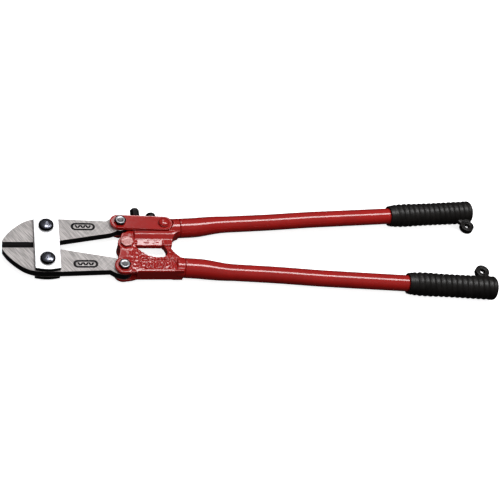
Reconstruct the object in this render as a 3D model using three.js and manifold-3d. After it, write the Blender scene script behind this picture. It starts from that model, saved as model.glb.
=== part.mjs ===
// Bolt cutters with compound toggle linkage, two forged jaws, two clamp plates,
// two cast handle roots, steel tube handles and rubber grips.
// Millimetres. +X runs from the jaws to the grips, +Y towards the upper handle, +Z up.
// The tool lies flat; the origin is under the middle of its outline on the resting plane.
// The jaws are closed, the castings' stops touch and every joint is at its zero.

import * as THREE from 'three';
import { mergeVertices } from 'three/addons/utils/BufferGeometryUtils.js';
import Module from 'manifold-3d';

const wasm = await Module();
wasm.setup();

// ---- driving dimensions; X is counted from the jaw tips, Z from the middle plane ----

const LENGTH = 622;
const REST_HEIGHT = 15.5;
const GAP = 0.3;
const EDGE_GAP = GAP / 2;
const CURVE_STEPS = 10;
const TURN_STEPS = 28;

const JAW_HALF = 5;
const PLATE = { inner: JAW_HALF + GAP, outer: 10.8, x0: 37, x1: 66.4, corner: 37.4, bulge: 2 };
const LINK = { inner: JAW_HALF + GAP, outer: 10.3, radius: 10.25, reach: { front: 2.2, back: 1 } };
const EAR = { inner: JAW_HALF + GAP, outer: 9.8, bossRise: 0.6 };
const NUT_UNDERSIDE = -REST_HEIGHT;

const CLAMP_PIVOT = { x: 51.5, y: 24.5 };
const TAIL_PIVOT = { x: 141.1, y: 33 };
const CENTRE_PIVOT = { x: 146.3, y: 0 };
const LINK_RIVET = { x: 195, y: 31 };

const CLAMP_SHANK = 5;
const TAIL_SHANK = 4;
const CENTRE_SHANK = 5;
const TAIL_HOLE = 7.6;
const TAIL_EAR = 10.8;
const TAIL_SWEEP = 14.4;
const TONGUE_SWEEP = 13;

const BEVEL = { depth: 4.4, length: 36, land: 0.4 };

const HANDLE_ANGLE = THREE.MathUtils.degToRad(4);
const HANDLE_ROOT = { x: 215, y: 34.3 };
const SWAGE = { shift: 2.7, start: 14, end: 56 };
const SWEEP = { shift: 1.3, start: 105, end: 185 };
const NECK_RADIUS = 12.4;
const TUBE = { mouth: 12.3, body: 10.4, wall: 1.6, taperStart: 20, taperEnd: 65, end: 390 };
const SPIGOT_LENGTH = 16;
const GRIP = { start: 287, end: 407.25, bore: TUBE.body + GAP, radius: 15.5, edge: 4 };
const EYELET = { along: 395, out: 24.5, radius: 9.3, hole: 3.5, half: 3.6 };

const ADJUSTER = { x: 162.2, radius: 4, tip: 22.5, top: 58.4, headBase: 47.5, flats: 9.2 };
const CAP_SCREW = { x: 181.6, radius: 4, tip: 26, headBase: 44, top: 52.8, headRadius: 6.3 };

// ---- materials ----

function material(color, roughness, metalness) {
  return new THREE.MeshStandardMaterial({ color, roughness, metalness });
}

const STEEL = material(0xa9a3a1, 0.42, 0.9);
const PLATE_STEEL = material(0xe9e9ec, 0.3, 0.9);
const DARK_CHROME = material(0x3a3a42, 0.22, 1);
const BLACK_OXIDE = material(0x1c1c1e, 0.45, 0.7);
const RED_CASTING = material(0x9c1418, 0.4, 0.1);
const RED_TUBE = material(0xb21a22, 0.22, 0.1);
const RUBBER = material(0x1c1a19, 0.75, 0);

// ---- shapes and solids ----

function polygon(points) {
  return new THREE.Shape(points.map(([x, y]) => new THREE.Vector2(x, y)));
}

function disc(x, y, radius) {
  return new THREE.Shape().absarc(x, y, radius, 0, 2 * Math.PI, false);
}

// A slot-shaped outline round two points.
function capsule(a, b, radius) {
  const turn = Math.atan2(b.y - a.y, b.x - a.x);
  return new THREE.Shape()
    .absarc(b.x, b.y, radius, turn - Math.PI / 2, turn + Math.PI / 2, false)
    .absarc(a.x, a.y, radius, turn + Math.PI / 2, turn + 1.5 * Math.PI, false);
}

function hexagon(acrossFlats, turn = 0) {
  const corner = acrossFlats / Math.sqrt(3);
  const corners = [0, 1, 2, 3, 4, 5].map((k) => turn + (k * Math.PI) / 3);
  return polygon(corners.map((a) => [corner * Math.cos(a), corner * Math.sin(a)]));
}

function slab(shape, low, high) {
  const flat = { depth: high - low, bevelEnabled: false, curveSegments: CURVE_STEPS };
  return new THREE.ExtrudeGeometry(shape, flat).translate(0, 0, low);
}

// Extrudes a section drawn in (Y, Z) along X.
function alongX(shape, low, high) {
  const basis = new THREE.Matrix4().makeBasis(
    new THREE.Vector3(0, 1, 0),
    new THREE.Vector3(0, 0, 1),
    new THREE.Vector3(1, 0, 0),
  );
  return slab(shape, low, high).applyMatrix4(basis);
}

// Extrudes a section drawn in (Z, X) along Y.
function alongY(shape, low, high) {
  const basis = new THREE.Matrix4().makeBasis(
    new THREE.Vector3(0, 0, 1),
    new THREE.Vector3(1, 0, 0),
    new THREE.Vector3(0, 1, 0),
  );
  return slab(shape, low, high).applyMatrix4(basis);
}

// Spins a profile of [radius, height] points; the axis is turned onto Z, X or Y.
function turned(profile, axis, segments = TURN_STEPS) {
  const points = profile.map(([r, h]) => new THREE.Vector2(r, h));
  const lathe = new THREE.LatheGeometry(points, segments);
  if (axis === 'z') lathe.rotateX(Math.PI / 2);
  if (axis === 'x') lathe.rotateZ(-Math.PI / 2);
  return lathe;
}

// Points of a dome cap that rises from a rim to the axis.
function dome(radius, base, height, steps = 4) {
  const angles = Array.from({ length: steps + 1 }, (_, k) => (k / steps) * (Math.PI / 2));
  return angles.map((a) => [radius * Math.cos(a), base + height * Math.sin(a)]);
}

function onAxis(points) {
  return points.map(([r, h]) => [Math.abs(r) < 1e-6 ? 0 : r, h]);
}

function signedVolume(position, index) {
  const a = new THREE.Vector3();
  const b = new THREE.Vector3();
  const c = new THREE.Vector3();
  let sum = 0;
  for (let i = 0; i < index.length; i += 3) {
    a.fromBufferAttribute(position, index[i]);
    b.fromBufferAttribute(position, index[i + 1]);
    c.fromBufferAttribute(position, index[i + 2]);
    sum += a.dot(b.cross(c));
  }
  return sum / 6;
}

// Merges a geometry's shared vertices, drops collapsed triangles and turns its faces outwards.
function solid(geometry) {
  const bare = geometry.clone();
  bare.deleteAttribute('normal');
  bare.deleteAttribute('uv');
  const merged = mergeVertices(bare, 1e-4);
  const all = merged.index.array;
  const kept = [];
  for (let i = 0; i < all.length; i += 3) {
    const [a, b, c] = [all[i], all[i + 1], all[i + 2]];
    if (a !== b && b !== c && c !== a) kept.push(a, b, c);
  }
  if (signedVolume(merged.attributes.position, kept) < 0) kept.reverse();
  const vertProperties = new Float32Array(merged.attributes.position.array);
  const triVerts = new Uint32Array(kept);
  return new wasm.Manifold(new wasm.Mesh({ numProp: 3, vertProperties, triVerts }));
}

function joined(geometries) {
  return geometries.map(solid).reduce((sum, piece) => sum.add(piece));
}

function cut(body, geometries) {
  return geometries.map(solid).reduce((rest, piece) => rest.subtract(piece), body);
}

function geometryOf(body) {
  const mesh = body.getMesh();
  const geometry = new THREE.BufferGeometry();
  const position = new Float32Array(mesh.vertProperties);
  geometry.setAttribute('position', new THREE.BufferAttribute(position, 3));
  geometry.setIndex(new THREE.BufferAttribute(new Uint32Array(mesh.triVerts), 1));
  geometry.computeVertexNormals();
  return geometry;
}

function piece(name, body, finish, parent, x = 0, y = 0) {
  const mesh = new THREE.Mesh(geometryOf(body), finish);
  mesh.name = name;
  mesh.position.set(x, y, 0);
  parent.add(mesh);
  return mesh;
}

function mirrored(geometry) {
  return geometry.clone().scale(1, -1, 1);
}

// ---- jaws and their clamp ----

// A jaw: rounded head, straight contact edge, tapering tail and an eye for the tail bolt.
function jaw() {
  const outline = new THREE.Shape();
  outline.moveTo(0, EDGE_GAP);
  outline.lineTo(50, EDGE_GAP);
  outline.lineTo(67.5, 6.5);
  outline.lineTo(128, 18.1);
  outline.quadraticCurveTo(133, 19.3, 137.5, 22.8);
  outline.lineTo(TAIL_PIVOT.x, TAIL_PIVOT.y - TAIL_EAR);
  outline.absarc(TAIL_PIVOT.x, TAIL_PIVOT.y, TAIL_EAR, -Math.PI / 2, Math.PI / 2, false);
  outline.quadraticCurveTo(131, 42.5, 125, 36.7);
  outline.lineTo(97, 37.8);
  outline.lineTo(68, 39);
  outline.lineTo(56, 39.1);
  outline.quadraticCurveTo(41.5, 39.4, 36.4, 38.15);
  outline.quadraticCurveTo(27, 35.8, 20.5, 30.4);
  outline.quadraticCurveTo(5.5, 18.5, 0, 6);
  const body = solid(slab(outline, -JAW_HALF, JAW_HALF));
  const bevel = polygon([
    [-1, BEVEL.land],
    [EDGE_GAP, BEVEL.land],
    [BEVEL.depth, JAW_HALF],
    [BEVEL.depth, JAW_HALF + 1],
    [-1, JAW_HALF + 1],
  ]);
  const frontBevel = alongX(bevel, -1, BEVEL.length);
  const rearBevel = frontBevel.clone().scale(1, 1, -1);
  const through = [-JAW_HALF - 1, JAW_HALF + 1];
  return cut(body, [
    frontBevel,
    rearBevel,
    slab(disc(CLAMP_PIVOT.x, CLAMP_PIVOT.y, CLAMP_SHANK + GAP), ...through),
    slab(disc(TAIL_PIVOT.x, TAIL_PIVOT.y, TAIL_HOLE), ...through),
  ]);
}

function clampPlate(low, high) {
  const middle = (PLATE.x0 + PLATE.x1) / 2;
  const crown = PLATE.corner + 2 * PLATE.bulge;
  const outline = new THREE.Shape();
  outline.moveTo(PLATE.x0, -PLATE.corner);
  outline.quadraticCurveTo(middle, -crown, PLATE.x1, -PLATE.corner);
  outline.lineTo(PLATE.x1, PLATE.corner);
  outline.quadraticCurveTo(middle, crown, PLATE.x0, PLATE.corner);
  const holes = [1, -1].map((side) => {
    const hole = disc(CLAMP_PIVOT.x, side * CLAMP_PIVOT.y, CLAMP_SHANK + GAP);
    return slab(hole, low - 1, high + 1);
  });
  return cut(solid(slab(outline, low, high)), holes);
}

// ---- fasteners; each stands on its own axis at the origin ----

function domedBolt(headRadius, headBase, headHeight, shankRadius, end) {
  const rim = headBase + 1.6;
  const cap = onAxis(dome(headRadius, rim, headHeight - 1.6));
  const profile = [[0, end], [shankRadius, end], [shankRadius, headBase], [headRadius - 0.5, headBase]];
  return solid(turned([...profile, ...cap], 'z'));
}

function hexBolt(acrossFlats, headBase, headHeight, shankRadius, end, turn = 0) {
  const chamfer = [
    [0, headBase],
    [acrossFlats, headBase],
    [acrossFlats, headBase + headHeight - acrossFlats * 0.25],
    [acrossFlats * 0.46, headBase + headHeight],
    [0, headBase + headHeight],
  ];
  const head = solid(slab(hexagon(acrossFlats, turn), headBase, headBase + headHeight));
  const shaped = head.intersect(solid(turned(chamfer, 'z')));
  return shaped.add(solid(slab(disc(0, 0, shankRadius), end, headBase + 0.5)));
}

function hexNut(acrossFlats, high, shankRadius) {
  const low = NUT_UNDERSIDE;
  const body = solid(slab(hexagon(acrossFlats, Math.PI / 6), low, high));
  return cut(body, [slab(disc(0, 0, shankRadius + GAP), low - 1, high + 1)]);
}

function rivet(headRadius, seat, height, shankRadius) {
  const front = onAxis(dome(headRadius, seat + 0.8, height - 0.8));
  const rear = front.map(([r, h]) => [r, -h]).reverse();
  const waist = [[headRadius, -seat], [shankRadius, -seat], [shankRadius, seat], [headRadius, seat]];
  return solid(turned([...rear, ...waist, ...front], 'z'));
}

// ---- handles ----

// Maps a piece drawn along a handle's own axis (X from the root, Y outwards) into the tool.
function alongHandle(geometry, side) {
  const placed = geometry.clone();
  placed.rotateZ(HANDLE_ANGLE);
  placed.translate(HANDLE_ROOT.x, HANDLE_ROOT.y, 0);
  return side < 0 ? mirrored(placed) : placed;
}

// The tube's mouth sits nearer the tool's axis than its body: it comes out in two easy bends.
function bendShift(along) {
  const swage = 1 - THREE.MathUtils.smoothstep(along, SWAGE.start, SWAGE.end);
  const sweep = 1 - THREE.MathUtils.smoothstep(along, SWEEP.start, SWEEP.end);
  return -SWAGE.shift * swage - SWEEP.shift * sweep;
}

function bend(geometry) {
  const position = geometry.attributes.position;
  for (let i = 0; i < position.count; i += 1) {
    position.setY(i, position.getY(i) + bendShift(position.getX(i)));
  }
  return geometry;
}

function tubeRadius(along) {
  const t = THREE.MathUtils.smoothstep(along, TUBE.taperStart, TUBE.taperEnd);
  return THREE.MathUtils.lerp(TUBE.mouth, TUBE.body, t);
}

function handleTube(side) {
  const stations = [GAP, 14, 20, 27, 34, 41, 48, 56, 65, 105, 125, 145, 165, 185, TUBE.end];
  const outside = stations.map((s) => [tubeRadius(s), s]);
  const inside = stations.map((s) => [tubeRadius(s) - TUBE.wall, s]).reverse();
  const loop = [...outside, ...inside, outside[0]];
  return solid(alongHandle(bend(turned(loop, 'x')), side));
}

// The solid round root of a handle: neck, then a spigot inside the tube.
function neck(start, side) {
  const spigot = TUBE.mouth - TUBE.wall - GAP;
  const profile = [
    [0, start],
    [NECK_RADIUS - 1, start],
    [NECK_RADIUS, start + 1],
    [NECK_RADIUS, 0],
    [spigot, 0],
    [spigot, SPIGOT_LENGTH - 1],
    [spigot - 1, SPIGOT_LENGTH],
    [0, SPIGOT_LENGTH],
  ];
  return alongHandle(turned(profile, 'x').translate(0, bendShift(0), 0), side);
}

function grip(side) {
  const { start, end, bore, radius, edge } = GRIP;
  const rim = dome(edge, 0, edge).map(([r, h]) => [radius - edge + r, end - edge + h]);
  const profile = [
    [bore, start],
    [13.1, start],
    [13.8, start + 2],
    [15, start + 9],
    [radius, start + 19],
    [radius, start + 32],
    [radius - 0.3, start + 44],
    [radius - 0.3, start + 75],
    ...rim,
    [0, end],
    [0, TUBE.end + 1],
    [bore, TUBE.end + 1],
    [bore, start],
  ];
  const { along, out, hole, half } = EYELET;
  const lug = new THREE.Shape();
  lug.moveTo(along - 19, -radius + 3);
  lug.quadraticCurveTo(along - 11, -radius - 1, along - EYELET.radius, -out);
  lug.absarc(along, -out, EYELET.radius, Math.PI, 2 * Math.PI, false);
  lug.lineTo(along + 4, -radius + 5);
  const body = solid(turned(profile, 'x'));
  const lugBody = cut(solid(slab(lug, -half, half)), [
    turned([[0, start], [radius - 2, start], [radius - 2, end - edge], [0, end - edge]], 'x'),
  ]);
  const whole = cut(body.add(lugBody), [slab(disc(along, -out, hole), -half - 1, half + 1)]);
  return solid(alongHandle(geometryOf(whole), side));
}

// ---- castings ----

// Upper root: a tongue on the centre bolt, a waisted body below the links,
// a lug between them, a thin flange with the stop pad and the neck.
function upperCasting() {
  const half = JAW_HALF;
  const shoulder = 9.2;
  const flange = 4.9;
  const flangeFoot = 0.9;
  const ledge = 22;
  const lugTop = 41;
  const bodyStart = 157.4;
  const section = polygon([
    [flangeFoot, 2 - flange], [7.5, -flange], [15, 1 - shoulder], [17.6, 0.2 - shoulder], [19.4, -shoulder], [19.4, -half],
    [ledge, -half], [ledge, half], [19.4, half], [19.4, shoulder], [17.6, shoulder - 0.2],
    [15, shoulder - 1], [7.5, flange], [flangeFoot, flange - 2],
  ]);
  const silhouette = new THREE.Shape();
  silhouette.moveTo(bodyStart, 60);
  silhouette.lineTo(bodyStart, flangeFoot);
  silhouette.lineTo(189, flangeFoot);
  silhouette.lineTo(192.6, EDGE_GAP);
  silhouette.lineTo(203.2, EDGE_GAP);
  silhouette.bezierCurveTo(203.6, 9, 206, 17, HANDLE_ROOT.x, 19.6);
  silhouette.lineTo(HANDLE_ROOT.x, 60);
  const body = joined([
    alongX(section, bodyStart, HANDLE_ROOT.x),
    slab(polygon([[172, 18], [172, lugTop], [212, lugTop], [212, 18]]), -half, half),
    slab(polygon([[192, -1], [192, 8], [206, 20], [206, -1]]), -half, half),
  ]).intersect(solid(slab(silhouette, -shoulder, shoulder)));
  const tongue = joined([
    slab(disc(CENTRE_PIVOT.x, CENTRE_PIVOT.y, 10.2), -half, half),
    slab(polygon([[137, 4], [144, 22], [160, 22], [160, 3.4], [155, 3.4], [150, -8]]), -half, half),
  ]);
  const through = [-half - 20, half + 20];
  const capHole = disc(0, CAP_SCREW.x, CAP_SCREW.radius + GAP);
  return cut(body.add(tongue).add(solid(neck(-16, 1))), [
    slab(disc(CENTRE_PIVOT.x, CENTRE_PIVOT.y, CENTRE_SHANK + GAP), ...through),
    slab(disc(TAIL_PIVOT.x, TAIL_PIVOT.y, TAIL_SWEEP), ...through),
    slab(disc(LINK_RIVET.x, LINK_RIVET.y, TAIL_SHANK + GAP), ...through),
    alongY(capHole, CAP_SCREW.tip - 1, lugTop + 1),
    slab(linkOutline(LINK.radius + 0.5), half, 20),
    slab(linkOutline(LINK.radius + 0.5), -20, -half),
  ]);
}

// Lower root: two ears that straddle the tongue and the lower jaw, a webbed body with
// a recessed panel on each face, a stop post and the neck.
function lowerCasting() {
  const half = EAR.outer;
  const foot = -41.6;
  const tail = { x: TAIL_PIVOT.x, y: -TAIL_PIVOT.y };
  const web = new THREE.Shape();
  web.moveTo(137.2, -5);
  web.quadraticCurveTo(138.6, -14, 133, -24.5);
  web.lineTo(141, -44.5);
  web.quadraticCurveTo(150, -43.4, 158, foot);
  web.lineTo(213.2, foot);
  web.lineTo(213.2, -21.5);
  web.quadraticCurveTo(206, -20, 203.5, -19);
  web.lineTo(190, -20.5);
  web.lineTo(184, -20.8);
  web.quadraticCurveTo(167, -20.5, 157, -4.5);
  web.lineTo(150, 4);
  const post = new THREE.Shape();
  post.moveTo(182, -24);
  post.quadraticCurveTo(196, -20, 195.8, -10);
  post.quadraticCurveTo(195.6, -4, 192.4, -EDGE_GAP);
  post.lineTo(201.2, -EDGE_GAP);
  post.quadraticCurveTo(202, -11, 210, -20.6);
  post.lineTo(210, -30);
  post.lineTo(182, -30);
  const flare = polygon([
    [-EDGE_GAP, -4.2], [-5, -4.8], [-18, -half], [-31, -half],
    [-31, half], [-18, half], [-5, 4.8], [-EDGE_GAP, 4.2],
  ]);
  const postBody = solid(alongX(flare, 182, 210)).intersect(solid(slab(post, -half, half)));
  const body = joined([
    slab(disc(CENTRE_PIVOT.x, CENTRE_PIVOT.y, 10.6), -half, half),
    slab(disc(tail.x, tail.y, 11.6), -half, half),
    slab(web, -half, half),
    neck(-10, -1),
    ...[CENTRE_PIVOT, tail].flatMap((at) => [
      slab(disc(at.x, at.y, 10.4), half - 0.5, half + EAR.bossRise),
      slab(disc(at.x, at.y, 10.4), -half - EAR.bossRise, 0.5 - half),
    ]),
  ]).add(postBody);
  const slot = [
    disc(tail.x, tail.y, TAIL_SWEEP),
    disc(CENTRE_PIVOT.x, CENTRE_PIVOT.y, TONGUE_SWEEP),
    polygon([[120, -50], [158, -50], [155.3, -34], [141, -28], [136, -17], [136, 16], [120, 16]]),
  ];
  const panel = new THREE.Shape();
  panel.moveTo(161.5, -39);
  panel.quadraticCurveTo(159.5, -30, 164, -22);
  panel.quadraticCurveTo(173, -25, 184, -24.5);
  panel.lineTo(200, -23.5);
  panel.quadraticCurveTo(206, -30, 205, -39);
  const depth = 1.4;
  return cut(body, [
    ...slot.map((shape) => slab(shape, -EAR.inner, EAR.inner)),
    slab(panel, half - depth, half + 1),
    slab(panel, -half - 1, depth - half),
    slab(disc(CENTRE_PIVOT.x, CENTRE_PIVOT.y, CENTRE_SHANK + GAP), -20, 20),
    slab(disc(tail.x, tail.y, TAIL_SHANK + GAP), -20, 20),
  ]);
}

function linkOutline(radius) {
  const front = { x: TAIL_PIVOT.x - LINK.reach.front, y: TAIL_PIVOT.y };
  const back = { x: LINK_RIVET.x + LINK.reach.back, y: LINK_RIVET.y };
  return capsule(front, back, radius);
}

function link(low, high) {
  const holes = [TAIL_PIVOT, LINK_RIVET].map((at) => {
    return slab(disc(at.x, at.y, TAIL_SHANK + GAP), low - 1, high + 1);
  });
  return cut(solid(slab(linkOutline(LINK.radius), low, high)), holes);
}

// The block between the links that the adjusting screw runs through.
function adjusterBlock() {
  const half = JAW_HALF;
  const outline = polygon([[156.2, 28], [156.2, 42.4], [170, 42.4], [170, 28]]);
  const bore = disc(0, ADJUSTER.x, ADJUSTER.radius + 2 * GAP);
  return cut(solid(slab(outline, -half, half)), [alongY(bore, 20, 50)]);
}

function adjustingScrew() {
  const { radius, tip, top, headBase, flats } = ADJUSTER;
  const head = solid(alongY(hexagon(flats, Math.PI / 6), headBase, top));
  const chamfer = solid(turned([[0, headBase - 1], [8, headBase - 1], [8, top - 4], [flats * 0.42, top], [0, top]], 'y'));
  const shank = [[0, tip], [radius - 1, tip], [radius, tip + 1.5], [radius, headBase + 0.5], [0, headBase + 0.5]];
  return head.intersect(chamfer).add(solid(turned(shank, 'y')));
}

function lockNut() {
  const low = 42.8;
  const high = 45.8;
  const body = solid(alongY(hexagon(10, Math.PI / 6), low, high));
  return cut(body, [alongY(disc(0, 0, ADJUSTER.radius + 2 * GAP), low - 1, high + 1)]);
}

function capScrew() {
  const { radius, tip, headBase, top, headRadius } = CAP_SCREW;
  const cap = onAxis(dome(headRadius, top - 3.5, 3.5));
  return solid(turned([[0, tip], [radius, tip], [radius, headBase], [headRadius, headBase], ...cap], 'y'));
}

// ---- the assembly ----

const tool = new THREE.Group();
tool.position.set(-LENGTH / 2, 0, REST_HEIGHT);

const clamp = new THREE.Group();
const upperHandle = new THREE.Group();
const lowerHandle = new THREE.Group();
const centrePivot = new THREE.Group();
const adjustingLink = new THREE.Group();
tool.add(clamp, upperHandle, lowerHandle, centrePivot, adjustingLink);

const upperJaw = jaw();
piece('upper_jaw', upperJaw, STEEL, tool);
piece('lower_jaw', solid(mirrored(geometryOf(upperJaw))), STEEL, tool);

piece('front_clamp_plate', clampPlate(PLATE.inner, PLATE.outer), PLATE_STEEL, clamp);
piece('rear_clamp_plate', clampPlate(-PLATE.outer, -PLATE.inner), PLATE_STEEL, clamp);
for (const [name, side] of [['upper', 1], ['lower', -1]]) {
  const at = [CLAMP_PIVOT.x, side * CLAMP_PIVOT.y];
  const bolt = domedBolt(8.9, PLATE.outer + GAP, 5.4, CLAMP_SHANK, NUT_UNDERSIDE + 0.6);
  piece(`${name}_clamp_bolt`, bolt, DARK_CHROME, clamp, ...at);
  piece(`${name}_clamp_nut`, hexNut(16, -PLATE.outer - GAP, CLAMP_SHANK), DARK_CHROME, clamp, ...at);
}

const centreBolt = hexBolt(13.6, EAR.outer + EAR.bossRise + GAP, 3.6, CENTRE_SHANK, NUT_UNDERSIDE + 0.6, 0.26);
const centreNut = hexNut(14, -EAR.outer - EAR.bossRise - GAP, CENTRE_SHANK);
piece('centre_pivot_bolt', centreBolt, RED_CASTING, centrePivot, CENTRE_PIVOT.x, CENTRE_PIVOT.y);
piece('centre_pivot_nut', centreNut, RED_CASTING, centrePivot, CENTRE_PIVOT.x, CENTRE_PIVOT.y);

piece('upper_handle_casting', upperCasting(), RED_CASTING, upperHandle);
piece('lower_handle_casting', lowerCasting(), RED_CASTING, lowerHandle);
for (const [name, side, group] of [['upper', 1, upperHandle], ['lower', -1, lowerHandle]]) {
  piece(`${name}_handle_tube`, handleTube(side), RED_TUBE, group);
  piece(`${name}_grip`, grip(side), RUBBER, group);
}
const linkRivet = rivet(6.6, LINK.outer + GAP, 4.2, TAIL_SHANK);
piece('link_rivet', linkRivet, RED_CASTING, upperHandle, LINK_RIVET.x, LINK_RIVET.y);
piece('cap_screw', capScrew(), BLACK_OXIDE, upperHandle, CAP_SCREW.x);
piece('adjusting_screw', adjustingScrew(), BLACK_OXIDE, upperHandle, ADJUSTER.x);

piece('front_link', link(LINK.inner, LINK.outer), RED_CASTING, adjustingLink);
piece('rear_link', link(-LINK.outer, -LINK.inner), RED_CASTING, adjustingLink);
piece('adjuster_block', adjusterBlock(), BLACK_OXIDE, adjustingLink);
piece('adjuster_lock_nut', lockNut(), BLACK_OXIDE, adjustingLink, ADJUSTER.x);

for (const [name, side, group, seat] of [
  ['upper', 1, adjustingLink, LINK.outer],
  ['lower', -1, lowerHandle, EAR.outer + EAR.bossRise],
]) {
  const at = [TAIL_PIVOT.x, side * TAIL_PIVOT.y];
  const bolt = hexBolt(12.8, seat + GAP, 3.2, TAIL_SHANK, NUT_UNDERSIDE + 0.6);
  piece(`${name}_tail_bolt`, bolt, BLACK_OXIDE, group, ...at);
  piece(`${name}_tail_nut`, hexNut(13, -seat - GAP, TAIL_SHANK), BLACK_OXIDE, group, ...at);
}

export default tool;
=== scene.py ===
"""Bolt cutters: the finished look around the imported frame.

Lengths are metres in the frame's own axes: +X runs from the jaws to the grips, +Y towards the
upper handle, +Z up. Every new piece is a surface worked out with numpy, or a copy of a frame
node with its edges eased, and its place is in its mesh.
"""

import math

import bmesh
import bpy
import numpy as np
from bpy.props import FloatProperty, FloatVectorProperty, IntProperty, PointerProperty
from mathutils import Euler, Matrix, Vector


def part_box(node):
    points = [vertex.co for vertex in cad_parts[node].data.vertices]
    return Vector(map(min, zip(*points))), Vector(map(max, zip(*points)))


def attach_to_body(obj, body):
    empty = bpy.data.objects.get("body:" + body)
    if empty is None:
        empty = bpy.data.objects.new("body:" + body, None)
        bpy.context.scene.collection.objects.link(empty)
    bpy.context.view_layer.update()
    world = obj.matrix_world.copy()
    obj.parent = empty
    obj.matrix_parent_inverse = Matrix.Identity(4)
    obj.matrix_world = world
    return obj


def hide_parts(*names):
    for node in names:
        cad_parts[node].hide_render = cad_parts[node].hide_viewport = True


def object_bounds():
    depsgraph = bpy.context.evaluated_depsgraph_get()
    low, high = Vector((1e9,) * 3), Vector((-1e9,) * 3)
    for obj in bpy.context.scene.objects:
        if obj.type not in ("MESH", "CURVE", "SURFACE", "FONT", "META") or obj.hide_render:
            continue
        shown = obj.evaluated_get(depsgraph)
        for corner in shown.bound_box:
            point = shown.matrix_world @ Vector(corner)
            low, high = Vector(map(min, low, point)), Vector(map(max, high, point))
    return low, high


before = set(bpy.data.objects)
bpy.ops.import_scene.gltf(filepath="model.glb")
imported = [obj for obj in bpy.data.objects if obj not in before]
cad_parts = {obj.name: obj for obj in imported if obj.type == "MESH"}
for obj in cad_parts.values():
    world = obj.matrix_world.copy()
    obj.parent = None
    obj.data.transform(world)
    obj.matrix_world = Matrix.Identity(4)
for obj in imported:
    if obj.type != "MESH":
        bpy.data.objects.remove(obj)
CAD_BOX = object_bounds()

bl_info = {
    "name": "Bolt Cutters",
    "version": (1, 0, 0),
    "blender": (4, 5, 0),
    "location": "3D View > Sidebar > Bolt Cutters",
    "description": "Builds the finished pieces of a pair of bolt cutters around its packed frame",
    "category": "Add Mesh",
}

MM = 0.001
MIDDLE = CAD_BOX[0][2] + 15.5 * MM

# The handles' own line: where it starts, how it leans and how long its tube is.
HANDLE_ROOT = Vector((-96.0 * MM, 34.3 * MM, MIDDLE))
HANDLE_LEAN = math.radians(4)
TUBE_MOUTH, TUBE_BODY, TUBE_WALL = 12.3 * MM, 10.4 * MM, 1.6 * MM
TUBE_TAPER = (20 * MM, 65 * MM)
SWAGE_SHIFT, SWAGE_REACH = 2.7 * MM, (14 * MM, 56 * MM)
SWEEP_SHIFT, SWEEP_REACH = 1.3 * MM, (105 * MM, 185 * MM)
TUBE_END = 390 * MM
GRIP_START, GRIP_END = 287 * MM, 407.15 * MM
EYE_ALONG, EYE_OUT, EYE_RADIUS, EYE_HOLE, EYE_HALF = (v * MM for v in (395, 24.5, 9.3, 3.5, 3.6))

# Half thicknesses, measured from the middle plane, below which a face is left black.
JAW_GROUND = 4.5 * MM
PLATE_GROUND = 10.25 * MM

# Axes of the domed clamp bolts and of the tail bolts: X, and Y on either side.
CLAMP_BOLT = (-259.5 * MM, 24.5 * MM)
TAIL_BOLT = (-169.9 * MM, 33.0 * MM)
CLEARANCE = 0.3 * MM

# The jaws' oval stamps: outer length and width, band, and the bars inside.
STAMP_PLACE = (-215.0 * MM, 27.8 * MM)
STAMP_LENGTH, STAMP_WIDTH, STAMP_BAND = 29.5 * MM, 11.4 * MM, 3.0 * MM
STAMP_PLATE = (24.3 * MM, 6.4 * MM)
STAMP_POINTS = 96
STAMP_BARS, STAMP_PITCH, STAMP_BAR = 6, 3.2 * MM, (5.0 * MM, 2.3 * MM, 0.3 * MM)

# Across-flats sizes and shank radii of the hexagon bolts, and the screws in the upper casting.
TAIL_FLATS, TAIL_SHANK = 12.8 * MM, 4 * MM
CENTRE_FLATS, CENTRE_SHANK = 13.6 * MM, 5 * MM
ADJUSTER_FLATS, ADJUSTER_HEAD, ADJUSTER_SHANK = 10.2 * MM, 11.2 * MM, 4 * MM
CAP_HEAD, CAP_DOME, CAP_SHANK = 9.3 * MM, 3.5 * MM, 4 * MM
LOCK_NUT_FLATS, LOCK_NUT_BORE = 10 * MM, 4.6 * MM

# Castings: where their sloping faces fade in and out along X, and how those faces are bent.
UPPER_REACH = tuple(v * MM for v in (-161, -157, -108, -104))
LOWER_REACH = tuple(v * MM for v in (-160, -154, -112, -108))
UPPER_BEND = ((7.5, 9.5, 15.0, 17.6), (0, -0.42, 0.3, 0))
LOWER_BEND = ((-41.6, -38.4), (-0.95, 0))
LINK_FACET = (1.8 * MM, 0.7 * MM)

# The stage, in metres and degrees: a long light overhead, a panel behind that only the bright
# steel mirrors, a soft light in front, and the camera above the jaws.
KEY_PLACE, KEY_TARGET, KEY_SIZE = (0.35, 0.09, 1.3), (0.35, 0.09, 0.0), (1.5, 0.36)
PANEL_PLACE, PANEL_TARGET, PANEL_SIZE = (-0.0675, 0.97, 1.3), (-0.2, 0.0, 0.0), (0.24, 0.7)
FILL_PLACE, FILL_TARGET, FILL_SIZE = (0.0, -0.95, 1.2), (0.0, 0.0, 0.0), (1.6, 1.0)
CAMERA_PLACE = (-0.3634, -0.7812, 1.0469 + MIDDLE)
CAMERA_TURN = (37.5775, -12.3105, -9.0120)


# ---- numbers and surfaces ----


def smoothstep(low, high, value):
    """0 below low, 1 above high, and a cubic ease between."""
    t = np.clip((np.asarray(value, float) - low) / (high - low), 0, 1)
    return t * t * (3 - 2 * t)


def softer(a, b, blend):
    """The smaller of two values, rounded over a width of blend where they cross."""
    spread = np.maximum(blend - np.abs(a - b), 0) / blend
    return np.minimum(a, b) - spread**2 * blend / 4


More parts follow.
